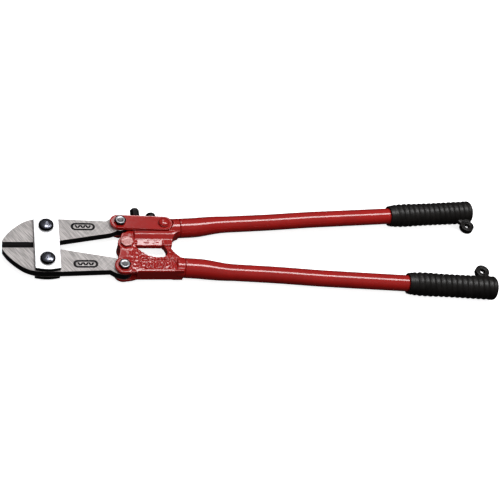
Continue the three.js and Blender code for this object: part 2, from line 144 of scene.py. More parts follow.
def rounded(corners, radius, steps=4):
    """A polyline whose inner corners are replaced by quadratic curves set back by radius."""
    corners = np.asarray(corners, float)
    t = np.linspace(0, 1, steps + 1)[:, None]
    parts = [corners[:1]]
    for before, at, after in zip(corners[:-2], corners[1:-1], corners[2:]):
        reach_in, reach_out = np.linalg.norm(before - at), np.linalg.norm(after - at)
        start = at + (before - at) * min(radius, reach_in * 0.45) / reach_in
        end = at + (after - at) * min(radius, reach_out * 0.45) / reach_out
        parts.append((1 - t) ** 2 * start + 2 * t * (1 - t) * at + t**2 * end)
    return np.vstack([*parts, corners[-1:]])


def resampled(curve, count):
    """Points at even steps along a polyline."""
    steps = np.linalg.norm(np.diff(curve, axis=0), axis=1)
    travelled = np.concatenate([[0], np.cumsum(steps)])
    wanted = np.linspace(0, travelled[-1], count)
    return np.stack([np.interp(wanted, travelled, column) for column in curve.T], axis=1)


def squared(value, power):
    """A sine or cosine raised to a power with its sign kept, which squares off an ellipse."""
    return np.sign(value) * np.abs(value) ** power


def object_from(name, points, faces, material):
    mesh = bpy.data.meshes.new(name)
    mesh.from_pydata(points.tolist(), [], [tuple(face) for face in faces])
    mesh.validate()
    mesh.shade_smooth()
    mesh.materials.append(material)
    thing = bpy.data.objects.new(name, mesh)
    bpy.context.scene.collection.objects.link(thing)
    return thing


def rings_to_mesh(rings, looped=False):
    """Vertices and faces over rows of points. Columns close round. Rows close into a loop, or the
    first and last rows are closed by a fan on their middle point."""
    rows, columns, _ = rings.shape
    index = np.arange(rows * columns).reshape(rows, columns)
    points = rings.reshape(-1, 3)
    strip = np.vstack([index, index[:1]]) if looped else index
    near, far = strip[:-1], strip[1:]
    quads = np.stack([near, np.roll(near, -1, 1), np.roll(far, -1, 1), far], -1).reshape(-1, 4)
    faces = quads.tolist()
    if not looped:
        hubs = np.stack([rings[0].mean(0), rings[-1].mean(0)])
        first, last = len(points), len(points) + 1
        points = np.vstack([points, hubs])
        faces += [(b, a, first) for a, b in zip(index[0], np.roll(index[0], -1))]
        faces += [(a, b, last) for a, b in zip(index[-1], np.roll(index[-1], -1))]
    return points, faces


def volume_of(points, faces):
    """Signed volume of a closed mesh: the sum of tetrahedra from the origin to each fan triangle."""
    total = 0.0
    for size in (3, 4):
        chosen = np.array([face for face in faces if len(face) == size])
        if len(chosen):
            corner = points[chosen]
            for k in range(1, size - 1):
                cross = np.cross(corner[:, k], corner[:, k + 1])
                total += np.einsum("ij,ij->i", corner[:, 0], cross).sum() / 6
    return total


def surface(name, rings, material, looped=False):
    """An object over rings of points, with its faces turned outwards."""
    points, faces = rings_to_mesh(np.asarray(rings, float), looped)
    if volume_of(points - points.mean(0), faces) < 0:
        faces = [tuple(reversed(face)) for face in faces]
    return object_from(name, points, faces, material)


def joined(name, things):
    """One object from several that share a material."""
    whole = bmesh.new()
    for thing in things:
        whole.from_mesh(thing.data)
    mesh = bpy.data.meshes.new(name)
    whole.to_mesh(mesh)
    whole.free()
    mesh.materials.append(things[0].data.materials[0])
    for thing in things:
        bpy.data.objects.remove(thing)
    result = bpy.data.objects.new(name, mesh)
    bpy.context.scene.collection.objects.link(result)
    return result


def turned_rings(profile, around=72, shape=None):
    """Rings about the local Z axis for a profile of (radius, height). shape, where given, is a
    function of (angle, ring radius, ring height) that returns each point's radius."""
    profile = np.asarray(profile, float)
    angle = np.linspace(0, 2 * np.pi, around, endpoint=False)
    radius = np.repeat(profile[:, :1], around, axis=1)
    if shape is not None:
        radius = shape(angle[None, :], radius, profile[:, 1:2])
    height = np.repeat(profile[:, 1:2], around, axis=1)
    return np.stack([radius * np.cos(angle), radius * np.sin(angle), height], axis=-1)


def hexagon_radius(flats, angle, turn):
    """Distance from the middle of a hexagon to its side at an angle, with its corners eased."""
    apothem, ease = flats / 2, 0.04
    sides = [apothem / np.maximum(np.cos(angle - turn - k * np.pi / 3), 0.05) for k in range(6)]
    result = sides[0]
    for side in sides[1:]:
        result = softer(result, side, flats * ease)
    return result


def placed(rings, centre, axis="z"):
    """Rings with their local Z turned onto a frame axis and moved to a centre."""
    x, y, z = rings[..., 0], rings[..., 1], rings[..., 2]
    turned = {"z": (x, y, z), "x": (z, x, y), "y": (y, z, x)}[axis]
    return np.stack(turned, axis=-1) + np.asarray(centre, float)


def along_handle(points, side):
    """Moves points drawn on a handle's own line (X along it, Y outwards, Z up) into the frame."""
    points = np.asarray(points, float)
    c, s = math.cos(HANDLE_LEAN), math.sin(HANDLE_LEAN)
    x = HANDLE_ROOT.x + points[..., 0] * c - points[..., 1] * s
    y = HANDLE_ROOT.y + points[..., 0] * s + points[..., 1] * c
    return np.stack([x, side * y, HANDLE_ROOT.z + points[..., 2]], axis=-1)


# ---- shader maths ----


class Number:
    """A number socket. Arithmetic on it adds Math nodes to its tree."""

    def __init__(self, tree, socket):
        self.tree = tree
        self.socket = socket

    def math(self, operation, *others):
        node = self.tree.nodes.new("ShaderNodeMath")
        node.operation = operation
        for slot, value in zip(node.inputs, (self, *others)):
            if isinstance(value, Number):
                self.tree.links.new(value.socket, slot)
            else:
                slot.default_value = value
        return Number(self.tree, node.outputs[0])

    def reflected(self, operation, other):
        first = Number(self.tree, self.constant(other))
        return first.math(operation, self)

    def constant(self, value):
        node = self.tree.nodes.new("ShaderNodeValue")
        node.outputs[0].default_value = value
        return node.outputs[0]

    def __add__(self, other):
        return self.math("ADD", other)

    __radd__ = __add__

    def __sub__(self, other):
        return self.math("SUBTRACT", other)

    def __rsub__(self, other):
        return self.reflected("SUBTRACT", other)

    def __mul__(self, other):
        return self.math("MULTIPLY", other)

    __rmul__ = __mul__

    def __pow__(self, other):
        return self.math("POWER", other)

    def __abs__(self):
        return self.math("ABSOLUTE")

    def between(self, low, high):
        """0 at low and 1 at high, with a smooth ease."""
        node = self.tree.nodes.new("ShaderNodeMapRange")
        node.interpolation_type = "SMOOTHSTEP"
        self.tree.links.new(self.socket, node.inputs["Value"])
        node.inputs["From Min"].default_value = low
        node.inputs["From Max"].default_value = high
        return Number(self.tree, node.outputs["Result"])


class Finish:
    """One material and its shader."""

    def __init__(self, name, **constants):
        self.material = bpy.data.materials.new(name)
        self.material.use_nodes = True
        self.tree = self.material.node_tree
        self.shader = self.tree.nodes["Principled BSDF"]
        self.place = self.node("ShaderNodeTexCoord").outputs["Object"]
        for socket, value in constants.items():
            self.shader.inputs[socket.replace("_", " ")].default_value = value

    def node(self, kind, settings=None, **sockets):
        """Adds a node: its settings first, then values or links for its sockets."""
        node = self.tree.nodes.new(kind)
        for key, value in (settings or {}).items():
            setattr(node, key, value)
        for name, value in sockets.items():
            self.feed(node.inputs[name.replace("_", " ")], value)
        return node

    def feed(self, socket, value):
        if isinstance(value, Number):
            value = value.socket
        if isinstance(value, bpy.types.NodeSocket):
            self.tree.links.new(value, socket)
        else:
            socket.default_value = value

    def set(self, **sockets):
        for name, value in sockets.items():
            self.feed(self.shader.inputs[name.replace("_", " ")], value)
        return self

    def axis(self, name):
        """One of the three coordinates of the piece's own place, in metres."""
        parts = self.node("ShaderNodeSeparateXYZ", Vector=self.place)
        return Number(self.tree, parts.outputs[name.upper()])

    def distance_from(self, x, y):
        """Distance across the tool from an upright axis at x and at y on either side."""
        across = self.axis("x") - x
        out = abs(self.axis("y")) - y
        return (across * across + out * out) ** 0.5

    def noise(self, scale, detail=3.0, roughness=0.5, stretch=None, turn=0.0):
        """Noise from 0 to 1. stretch scales its axes and turn rotates it about Z."""
        place = self.place
        if stretch is not None:
            spin = self.node("ShaderNodeMapping", {"vector_type": "TEXTURE"}, Vector=place)
            spin.inputs["Rotation"].default_value = (0, 0, turn)
            stretched = self.node("ShaderNodeMapping", Vector=spin.outputs[0], Scale=stretch)
            place = stretched.outputs[0]
        made = self.node(
            "ShaderNodeTexNoise", Vector=place, Scale=scale, Detail=detail, Roughness=roughness
        )
        return Number(self.tree, made.outputs[0])

    def colours(self, factor, first, second):
        """A mix of two colours or links by a factor."""
        mix = self.node("ShaderNodeMix", {"data_type": "RGBA", "clamp_factor": True})
        self.feed(mix.inputs[0], factor)
        self.feed(mix.inputs[6], first)
        self.feed(mix.inputs[7], second)
        return mix.outputs[2]

    def shades(self, factor, colour, first, second):
        """A mix of one colour made darker or lighter by two factors."""
        return self.colours(factor, scaled(colour, first), scaled(colour, second))

    def bump(self, height, depth, strength=1.0):
        made = self.node("ShaderNodeBump", Strength=strength, Distance=depth, Height=height)
        return made.outputs["Normal"]


def rgba(colour):
    return (*colour, 1.0)


def scaled(colour, factor):
    return tuple(min(c * factor, 1.0) for c in colour[:3]) + (1.0,)


# ---- materials ----


def jaw_steel(colours):
    """Ground forged steel: slanting grinding lines on the faces, black sides and cutting bevels."""
    finish = Finish("jaw_steel")
    grooves = (900, 60, 60)
    lines = finish.noise(1.0, 2.0, 0.6, grooves, math.radians(36))
    crossed = finish.noise(1.0, 2.0, 0.6, grooves, math.radians(-40))
    clouds = finish.noise(38, 3.0, 0.55)
    x, y = finish.axis("x"), abs(finish.axis("y"))
    rise = abs(finish.axis("z") - MIDDLE)
    tail = x.between(-230 * MM, -200 * MM)
    face = rise.between(JAW_GROUND - 0.15 * MM, JAW_GROUND + 0.1 * MM)
    bevel = (1 - y.between(4.15 * MM, 4.35 * MM)) * (1 - x.between(-275.2 * MM, -274.6 * MM))
    bright = face * (1 - bevel)
    tone = lines * (1 - tail * 0.4) + crossed * tail * 0.4 + clouds * 0.2
    ground = finish.shades(tone.between(0.42, 0.8), colours.steel, 0.5, 1)
    finish.set(
        Base_Color=finish.colours(bright, rgba(colours.oxide), ground),
        Metallic=0.3 + bright * 0.25,
        Roughness=0.36 + lines * 0.14 * bright,
        Normal=finish.bump(lines * bright, 0.06 * MM, 0.6),
    )
    return finish.material


def plate_steel(colours):
    """Bright nickel plate with a soft polish and black edges."""
    finish = Finish("plate_steel")
    lines = finish.noise(1.0, 2.0, 0.6, (220, 2200, 220), 0.0)
    clouds = finish.noise(60, 3.0, 0.6)
    rise = abs(finish.axis("z") - MIDDLE)
    face = rise.between(PLATE_GROUND - 0.15 * MM, PLATE_GROUND + 0.1 * MM)
    polished = finish.shades(clouds.between(0.35, 0.7), colours.plate, 1, 0.93)
    finish.set(
        Base_Color=finish.colours(face, rgba(colours.oxide), polished),
        Metallic=0.45,
        Roughness=0.17 + lines * 0.06,
        Normal=finish.bump(lines, 0.01 * MM, 0.3),
    )
    return finish.material


def dark_chrome(colours):
    """Polished domed bolt heads with faint wipe marks, and a black rim of painted shade round the
    dome's edge.
    """
    finish = Finish("dark_chrome", Metallic=1.0)
    clouds = finish.noise(420, 3.0, 0.6)
    # Painted shade: beyond this radius the dome is painted black.
    rim = finish.distance_from(*CLAMP_BOLT).between(7.2 * MM, 7.9 * MM)
    dome = finish.shades(clouds.between(0.35, 0.65), colours.chrome, 1, 0.45)
    finish.set(
        Base_Color=finish.colours(rim, dome, rgba(colours.oxide)),
        Roughness=0.16 + clouds * 0.12,
        Normal=finish.bump(clouds, 0.4 * MM, 0.6),
    )
    return finish.material


def black_oxide(colours):
    """Blackened bolts and screws with a slight grain."""
    finish = Finish("black_oxide", Metallic=0.8)
    grain = finish.noise(900, 2.0, 0.6)
    clouds = finish.noise(120, 3.0, 0.6)
    finish.set(
        Base_Color=finish.shades(clouds.between(0.5, 0.8), colours.oxide, 1, 3),
        Roughness=0.3 + grain * 0.25,
        Normal=finish.bump(grain, 0.03 * MM, 0.5),
    )
    return finish.material


def bolt_steel(colours):
    """Hexagon heads painted black outside their tops as painted shade, with a bright ring of painted
    highlight round a dish darkened as painted shade.
    """
    finish = Finish("bolt_steel", Metallic=0.9)
    grain = finish.noise(700, 2.0, 0.6)
    clouds = finish.noise(160, 3.0, 0.6)
    out = finish.distance_from(*TAIL_BOLT)
    # Painted light: black outside the crown is painted shade, the darker middle is painted shade and
    # the lighter ring is a painted highlight.
    crown = 1 - out.between(5.3 * MM, 5.7 * MM)
    ring = out.between(3.0 * MM, 3.6 * MM)
    high = finish.axis("z").between(MIDDLE + 12.6 * MM, MIDDLE + 13.2 * MM)
    middle = finish.shades(clouds.between(0.3, 0.7), colours.bolt, 0.3, 0.6)
    painted_highlight_and_shade = finish.colours(ring, middle, scaled(colours.bolt, 1.3))
    finish.set(
        Base_Color=finish.colours(crown * high, rgba(colours.oxide), painted_highlight_and_shade),
        Roughness=0.26 + grain * 0.2,
        Normal=finish.bump(grain, 0.03 * MM, 0.5),
    )
    return finish.material


def red_paint_painted_light(colours):
    """Red enamel on the centre bolt: its top is lightened to a spotted pale pink as a painted
    highlight, and its sides are darkened as painted shade.
    """
    finish = Finish("red_paint_painted_light", Coat_Weight=0.5, Coat_Roughness=0.1)
    spots = finish.noise(520, 3.0, 0.6)
    # Painted light: above this height is the pale pink painted highlight; below it the red is darkened
    # as painted shade.
    high = finish.axis("z").between(MIDDLE + 13.4 * MM, MIDDLE + 14.0 * MM)
    pale_pink = (0.8, 0.42, 0.4, 1)
    painted_highlight_top = finish.colours(spots.between(0.5, 0.66), pale_pink, rgba(colours.paint))
    finish.set(
        Base_Color=finish.colours(high, scaled(colours.paint, 0.6), painted_highlight_top),
        Roughness=0.3 + spots * 0.2,
        Normal=finish.bump(spots, 0.3 * MM, 0.6),
    )
    return finish.material


def paint(name, colours, coarse, fine):
    """Gloss red enamel. coarse is the height of the casting's lumps and fine of its pits."""
    finish = Finish(name, Coat_Weight=1.0, Coat_Roughness=0.05, Specular_IOR_Level=0.4)
    lumps = finish.noise(230, 3.0, 0.6)
    peel = finish.noise(1500, 2.0, 0.5)
    clouds = finish.noise(26, 2.0, 0.5)
    tone = clouds * 0.6 + lumps * 0.4
    finish.set(
        Base_Color=finish.shades(tone.between(0.3, 0.75), colours.paint, 1, 0.8),
        Roughness=0.14 + lumps * 0.12,
        Normal=finish.bump(lumps * coarse + peel * fine, 1.0 * MM, 1.0),
    )
    return finish.material


def red_casting(colours):
    return paint("red_casting", colours, 0.1, 0.006)


def red_tube(colours):
    return paint("red_tube", colours, 0.0, 0.004)


def grip_rubber(colours):
    """Satin moulded rubber with a fine grain."""
    finish = Finish("grip_rubber", Specular_IOR_Level=0.4)
    grain = finish.noise(2200, 2.0, 0.7)
    clouds = finish.noise(90, 3.0, 0.6)
    finish.set(
        Base_Color=finish.shades(clouds.between(0.35, 0.75), colours.rubber, 1, 1.9),
        Roughness=0.3 + grain * 0.2,
        Normal=finish.bump(grain, 0.04 * MM, 0.5),
    )
    return finish.material


def floor_white(colours):
    """A lit table: it glows a little, so that it stays pale under the tool."""
    finish = Finish("floor_white", Roughness=0.9, Specular_IOR_Level=0.0, Emission_Strength=0.88)
    clouds = finish.noise(3, 2.0, 0.5)
    pale = finish.shades(clouds, colours.floor, 1, 0.99)
    finish.set(Base_Color=pale, Emission_Color=pale)
    return finish.material


def backdrop_white(_):
    """The even white beyond the table."""
    finish = Finish("backdrop_white", Roughness=1.0, Specular_IOR_Level=0.0, Emission_Strength=1.0)
    finish.set(Base_Color=rgba((0.0, 0.0, 0.0)), Emission_Color=rgba((1.0, 1.0, 1.0)))
    return finish.material


# ---- pieces ----


def node_copy(name, node, material, change=None):
    """A new piece from a frame node's mesh, with its doubles merged. change edits it on the way."""
    shape = bmesh.new()
    shape.from_mesh(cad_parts[node].data)
    bmesh.ops.remove_doubles(shape, verts=shape.verts, dist=0.002 * MM)
    if change:
        change(shape)
    mesh = bpy.data.meshes.new(name)
    shape.to_mesh(mesh)
    shape.free()
    mesh.materials.clear()
    mesh.materials.append(material)
    piece = bpy.data.objects.new(name, mesh)
    bpy.context.scene.collection.objects.link(piece)
    return piece


def softened(node, body, slot, material, width, segments=3, facet=None):
    """A copy of a frame node with its arrises rounded, which stands for that node. facet, where
    given, is the width and drop of a shallow slope round its two flat faces."""

    def change(shape):
        bmesh.ops.dissolve_limit(
            shape, angle_limit=math.radians(0.6), verts=shape.verts, edges=shape.edges
        )
        if facet:
            slope_edges(shape, *facet)

    piece = node_copy(f"{node}_finished", node, material, change)
    piece.data.shade_smooth()
    ease = piece.modifiers.new("eased edges", "BEVEL")
    ease.width = width
    ease.segments = segments
    ease.limit_method = "ANGLE"
    ease.angle_limit = math.radians(32)
    even = piece.modifiers.new("even faces", "WEIGHTED_NORMAL")
    even.mode = "FACE_AREA"
    even.weight = 100
    return attach(piece, body, slot, node)


def slope_edges(shape, width, drop):
    """Insets the upward and downward faces of a flat part and lowers their rims."""
    for sign in (1, -1):
        shape.normal_update()
        faces = [face for face in shape.faces if face.normal.z * sign > 0.99]
        rim = {vertex for face in faces for vertex in face.verts}
        rim = [v for v in rim if any(face not in faces for face in v.link_faces)]
        bmesh.ops.inset_region(shape, faces=faces, thickness=width, use_even_offset=True)
        for vertex in rim:
            vertex.co.z -= sign * drop


def attach(piece, body, slot, *nodes):
    """Rides a piece on its body and hides the nodes that it stands for. slot is not used."""
    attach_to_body(piece, body)
    if nodes:
        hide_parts(*nodes)
    return piece


def fitted(node, body, slot, *things):
    """Joins the parts of a bolt or screw into the piece that stands for a node."""
    return attach(joined(f"{node}_finished", things), body, slot, node)


def middle_of(low, high):
    """The X and Y of a box's middle, at Z of 0."""
    return ((low.x + high.x) / 2, (low.y + high.y) / 2, 0)


def cast_copy(node, name, material, voxel, passes):
    """A copy of a casting with its corners melted as a foundry mould leaves them: the solid is
    rebuilt on a fine even grid and relaxed."""
    piece = node_copy(name, node, material)
    grid = piece.modifiers.new("grid", "REMESH")
    grid.mode = "VOXEL"
    grid.voxel_size = voxel
    relax = piece.modifiers.new("relax", "SMOOTH")
    relax.factor = 0.5
    relax.iterations = passes
    graph = bpy.context.evaluated_depsgraph_get()
    graph.update()
    mesh = bpy.data.meshes.new_from_object(piece.evaluated_get(graph))
    piece.modifiers.clear()
    piece.data = mesh
    mesh.shade_smooth()
    return piece


def mesh_points(mesh, attribute="co"):
    """A mesh's points, or their normals, as rows of X, Y and Z."""
    flat = np.empty(len(mesh.vertices) * 3)
    mesh.vertices.foreach_get(attribute, flat)
    return flat.reshape(-1, 3)


def move_points(mesh, points):
    mesh.vertices.foreach_set("co", points.ravel())
    mesh.update()


def ripple(points, length, seed):
    """Smooth lumps from -1 to 1: a mean of sine products whose directions and phases are drawn
    from a seeded generator, with wavelengths near length."""
    draw = np.random.default_rng(seed)
    total = np.zeros(len(points))
    waves = 14
    for _ in range(waves):
        direction = draw.normal(size=3)
        direction *= 2 * np.pi / (length * draw.uniform(0.7, 1.5)) / np.linalg.norm(direction)
        total += np.sin(points @ direction + draw.uniform(0, 2 * np.pi))
    return total / math.sqrt(waves)


def roughen(piece, where, height, length, seed):
    """Lifts a piece's points along their normals by lumps, weighted by where(points)."""
    mesh = piece.data
    points, normals = mesh_points(mesh), mesh_points(mesh, "normal")
    lift = height * ripple(points, length, seed) * where(points)
    move_points(mesh, points + normals * lift[:, None])


def bend_faces(piece, bend, reach):
    """Moves the points of a casting's two faces away from the middle plane by a polyline over Y,
    faded in and out along X. The points near the middle plane stay."""
    points = mesh_points(piece.data)
    x, y, z = points.T
    stations, changes = (np.array(row) * MM for row in bend)
    along = smoothstep(reach[0], reach[1], x) * (1 - smoothstep(reach[2], reach[3], x))
    face = smoothstep(3.5 * MM, 4.5 * MM, np.abs(z - MIDDLE))
    points[:, 2] += np.sign(z - MIDDLE) * np.interp(y, stations, changes) * along * face
    move_points(piece.data, points)


def domed_head(name, centre, radius, base, height, material):
    """A shallow domed bolt head: a short rim, then an elliptic arc up to its crown."""
    arc = np.linspace(0, np.pi / 2, 22)[:-1]
    rim = height * 0.24
    crown = np.stack([radius * np.cos(arc), base + rim + (height - rim) * np.sin(arc)], axis=1)
    foot = np.array([[radius * 0.5, base], [radius * 0.93, base], [radius, base + rim * 0.3]])
    profile = np.vstack([foot[:1], rounded(foot, 0.3 * MM)[1:], crown])
    return surface(name, placed(turned_rings(profile, 96), centre), material)


def hex_head(
    name, centre, flats, low, high, material, hole=None, turn=0.0, axis="z", chamfer=0.46
):
    """A hexagon head or nut. Each ring is the smaller of the hexagon and a chamfer cone, and the
    cone's edge is eased. With a hole the profile closes on itself through it."""
    height = high - low
    slope = 0.55
    crown = flats * chamfer
    around = 120

    def shape(angle, radius, at):
        side = hexagon_radius(flats, angle, turn) * radius
        if hole:
            side = np.minimum(side, crown + 0.4 * MM + (at - low) / slope)
        cone = crown + (high - at) / slope
        return softer(side, cone, 0.25 * MM)

    steps = np.concatenate([[0, 0.03, 0.08], np.linspace(0.15, 0.6, 4), np.linspace(0.66, 1, 12)])
    outer = np.stack([np.ones_like(steps), low + height * steps], axis=1)
    rings = turned_rings(outer, around, shape)
    if hole:
        inner = turned_rings([[hole, high], [hole, low]], around)
        rings = placed(np.vstack([rings, inner]), centre, axis)
        return surface(name, rings, material, looped=True)
    # The dished top, in crown radii across and millimetres up.
    across = [0.97, 0.94, 0.78, 0.74, 0.7, 0.6, 0.3]
    rise = [-0.12, -0.05, 0.07, 0.07, 0.0, -0.35, -0.4]
    top = turned_rings(np.stack([crown * np.array(across), high + np.array(rise) * MM], axis=1), around)
    return surface(name, placed(np.vstack([rings, top]), centre, axis), material)


def shank(name, centre, radius, low, high, material, axis="z"):
    """A plain shank with a chamfered lower end."""
    end = 0.5 * MM
    corners = [[radius * 0.4, low], [radius - end, low], [radius, low + end], [radius, high]]
    profile = rounded(corners, 0.1 * MM)
    return surface(name, placed(turned_rings(profile, 48), centre, axis), material)


def tube_shift(along):
    """How far the tube's middle stands from its straight line: two eased bends near its mouth."""
    swage = SWAGE_SHIFT * (1 - smoothstep(*SWAGE_REACH, along))
    sweep = SWEEP_SHIFT * (1 - smoothstep(*SWEEP_REACH, along))
    return -swage - sweep


def tube_radius(along):
    return TUBE_MOUTH + (TUBE_BODY - TUBE_MOUTH) * smoothstep(*TUBE_TAPER, along)


def handle_rings(profile, around):
    """Rings of (radius, distance along) about a handle's line, moved by the tube's bend."""
    local = turned_rings(profile, around)
    along = local[..., 2]
    return np.stack([along, local[..., 0] + tube_shift(along), local[..., 1]], axis=-1)


def handle_tube(name, side, material):
    """The swaged steel tube: its radius and middle follow smooth eases from mouth to body."""
    stretches = [np.linspace(1.0, 80, 52), np.linspace(85, 200, 40), np.linspace(210, 390, 12)]
    along = np.concatenate(stretches) * MM
    outside = np.stack([tube_radius(along), along], axis=1)
    inside = np.stack([tube_radius(along) - TUBE_WALL, along], axis=1)[::-1]
    mouth = TUBE_MOUTH
    lip = [
        [mouth - TUBE_WALL, 0.5 * MM],
        [mouth - 0.7 * MM, 0.32 * MM],
        [mouth - 0.15 * MM, 0.5 * MM],
    ]
    rings = handle_rings(np.vstack([lip, outside, inside]), 80)
    return surface(name, along_handle(rings, side), material, looped=True)


def grip_radius(along):
    """The grip's plain outline: a tapering collar, a palm swell, a waist and an even body."""
    stations = [0, 2, 6, 12, 19, 28, 36, 44, 60, 78, 95, 115, 120.3]
    radii = [12.9, 13.6, 14.4, 15.1, 15.4, 15.5, 15.3, 15.15, 15.1, 15.2, 15.4, 15.45, 15.4]
    stations, radii = np.array(stations) * MM, np.array(radii) * MM
    offset = np.asarray(along) - GRIP_START
    blur = (-3, -1.5, 0, 1.5, 3)
    return np.mean([np.interp(offset + shift * MM, stations, radii) for shift in blur], axis=0)


def grip_ribs(along, angle, sizes):
    """Height of the ribs, zero at their crests: rounded rolls with narrow valleys. Their phase
    leans a little with the angle, so that the rolls slant."""
    pitch = sizes.rib_pitch
    first = GRIP_START + 6 * MM
    last = first + sizes.rib_count * pitch
    phase = (along - first) / pitch + sizes.rib_slant * np.sin(angle)
    roll = np.abs(2 * (phase - np.floor(phase)) - 1)
    starts = smoothstep(first - 1 * MM, first + 2 * MM, along)
    stops = smoothstep(last - 2 * MM, last, along)
    return -sizes.rib_depth * roll**1.6 * starts * (1 - stops)


def grip_shell(name, side, sizes, material):
    """The rubber sleeve: bore, lip, ribbed outside and a flat end with a rounded edge."""
    edge = 3.6 * MM
    around = 120
    angle = np.linspace(0, 2 * np.pi, around, endpoint=False)[None, :]
    along = np.linspace(GRIP_START + 0.6 * MM, GRIP_END - edge, 420)[:, None]
    radius = grip_radius(along) + grip_ribs(along, angle, sizes)
    line = np.repeat(along, around, 1)
    body = np.stack([line, radius * np.cos(angle), radius * np.sin(angle)], axis=-1)
    turn = np.linspace(0, np.pi / 2, 9)[1:]
    outer = grip_radius(GRIP_END - edge)
    core = outer - edge
    end = [[core + edge * math.cos(t), GRIP_END - edge + edge * math.sin(t)] for t in turn]
    end += [[r * outer, GRIP_END - 0.02 * MM] for r in (0.6, 0.52, 0.5)]
    end += [[0.47 * outer, GRIP_END - 0.5 * MM], [0.2 * outer, GRIP_END - 0.55 * MM]]
    bore = TUBE_BODY + CLEARANCE
    bottom = TUBE_END + 1 * MM
    inside = [[bore * 0.2, bottom], [bore * 0.98, bottom], [bore, TUBE_END]]
    inside += [[bore, GRIP_START + 1 * MM], [bore + 0.3 * MM, GRIP_START + 0.1 * MM]]
    inside += [[12.3 * MM, GRIP_START + 0.05 * MM]]
    lined = [turned_rings(profile, around)[..., [2, 0, 1]] for profile in (inside, end)]
    rings = np.vstack([lined[0], body, lined[1]])
    return surface(name, along_handle(rings, side), material)


def grip_eyelet(name, side, material):
    """A flat eye with a raised rim and collar, and the web that ties it to the grip's end."""
    half = EYE_HALF
    upper = [
        [EYE_RADIUS, half], [EYE_RADIUS - 1.8 * MM, half], [EYE_RADIUS - 2.3 * MM, half * 0.62],
        [EYE_HOLE + 2.1 * MM, half * 0.62], [EYE_HOLE + 1.7 * MM, half * 0.9], [EYE_HOLE, half * 0.9],
    ]
    section = [[radius, -height] for radius, height in reversed(upper)] + upper
    closed = np.array([section[-1], *section, section[0]])
    loop = rounded(closed, 0.9 * MM, 4)[1:-1]
    ring = turned_rings(loop, 72) + np.array([EYE_ALONG, -EYE_OUT, 0])
    eye = surface(f"{name}_ring", along_handle(ring, side), material, looped=True)
    around, inner = 40, -11 * MM
    depth = np.linspace(0, 1, 14)[:, None]
    angle = np.linspace(0, 2 * np.pi, around, endpoint=False)[None, :]
    near, far = EYE_ALONG - 19 * MM, EYE_ALONG + 8.6 * MM
    left = near + (EYE_ALONG - 8.2 * MM - near) * depth**0.55
    right = far + (EYE_ALONG + 8.2 * MM - far) * depth
    x = (left + right) / 2 + (right - left) / 2 * squared(np.cos(angle), 0.45)
    y = np.repeat(inner + (EYE_HOLE + 2.4 * MM - EYE_OUT - inner) * depth, around, axis=1)
    z = (half - 0.5 * MM) * squared(np.sin(angle), 0.45) * (1.25 - 0.25 * depth)
    web = surface(f"{name}_web", along_handle(np.stack([x, y, z], axis=-1), side), material)
    return joined(name, [eye, web])


def stadium(length, width, count):
    """Points and outward normals round a slot outline, at even steps."""
    radius = width / 2
    straight = length / 2 - radius
    turn = np.linspace(-np.pi / 2, np.pi / 2, 24)
    right = np.stack([straight + radius * np.cos(turn), radius * np.sin(turn)], axis=1)
    left = -right
    path = resampled(np.vstack([right, left, right[:1]]), count + 1)[:-1]
    core = np.stack([np.clip(path[:, 0], -straight, straight), np.zeros(count)], axis=1)
    out = path - core
    return path, out / np.linalg.norm(out, axis=1, keepdims=True)


def badge_ring(name, centre, z, length, width, band, material):
    """A flat rounded band that follows a slot outline: an oval stamp's border."""
    path, out = stadium(length - band, width - band, STAMP_POINTS)
    turn = np.linspace(0, 2 * np.pi, 12, endpoint=False)[:, None]
    across = band / 2 * squared(np.cos(turn), 0.7)
    up = 0.1 * MM * np.sin(turn)
    xy = path[None] + out[None] * across[..., None]
    rings = np.concatenate([xy, np.repeat(up[..., None], STAMP_POINTS, axis=1)], axis=-1)
    return surface(name, rings + np.array([centre[0], centre[1], z]), material, looped=True)


def badge_plate(name, centre, z, length, width, material):
    """The stamp's slightly raised middle, domed towards its edge."""
    path, _ = stadium(length, width, STAMP_POINTS)
    scale = np.array([1.0, 0.97, 0.9, 0.6, 0.2])
    heights = np.array([-0.1, 0.06, 0.1, 0.12, 0.12]) * MM
    xy = path[None] * scale[:, None, None]
    up = np.repeat(heights[:, None, None], STAMP_POINTS, axis=1)
    rings = np.concatenate([xy, up], axis=-1)
    return surface(name, rings + np.array([centre[0], centre[1], z]), material)


def pill(name, centre, along, across, up, turn, material):
    """A rounded bar: a superellipse section that closes towards both ends."""
    around = 20
    t = np.linspace(0.02, np.pi - 0.02, 12)[:, None]
    angle = np.linspace(0, 2 * np.pi, around, endpoint=False)[None, :]
    swell = np.sin(t) ** 0.5
    x = np.repeat(-np.cos(t) * along / 2, around, axis=1)
    y = swell * across / 2 * np.cos(angle)
    z = swell * up / 2 * np.sin(angle)
    c, s = math.cos(turn), math.sin(turn)
    rings = np.stack([x * c - y * s, x * s + y * c, z], axis=-1)
    return surface(name, rings + np.asarray(centre), material)


# ---- settings ----


def length_setting(name, description, default):
    return FloatProperty(
        name=name, description=description, default=default * MM, min=0, unit="LENGTH", precision=5
    )


def power_setting(name, description, default):
    return FloatProperty(name=name, description=description, default=default, min=0, unit="POWER")


def colour_setting(name, description, default):
    return FloatVectorProperty(
        name=name, description=description, subtype="COLOR", size=3, min=0, max=1, default=default
    )


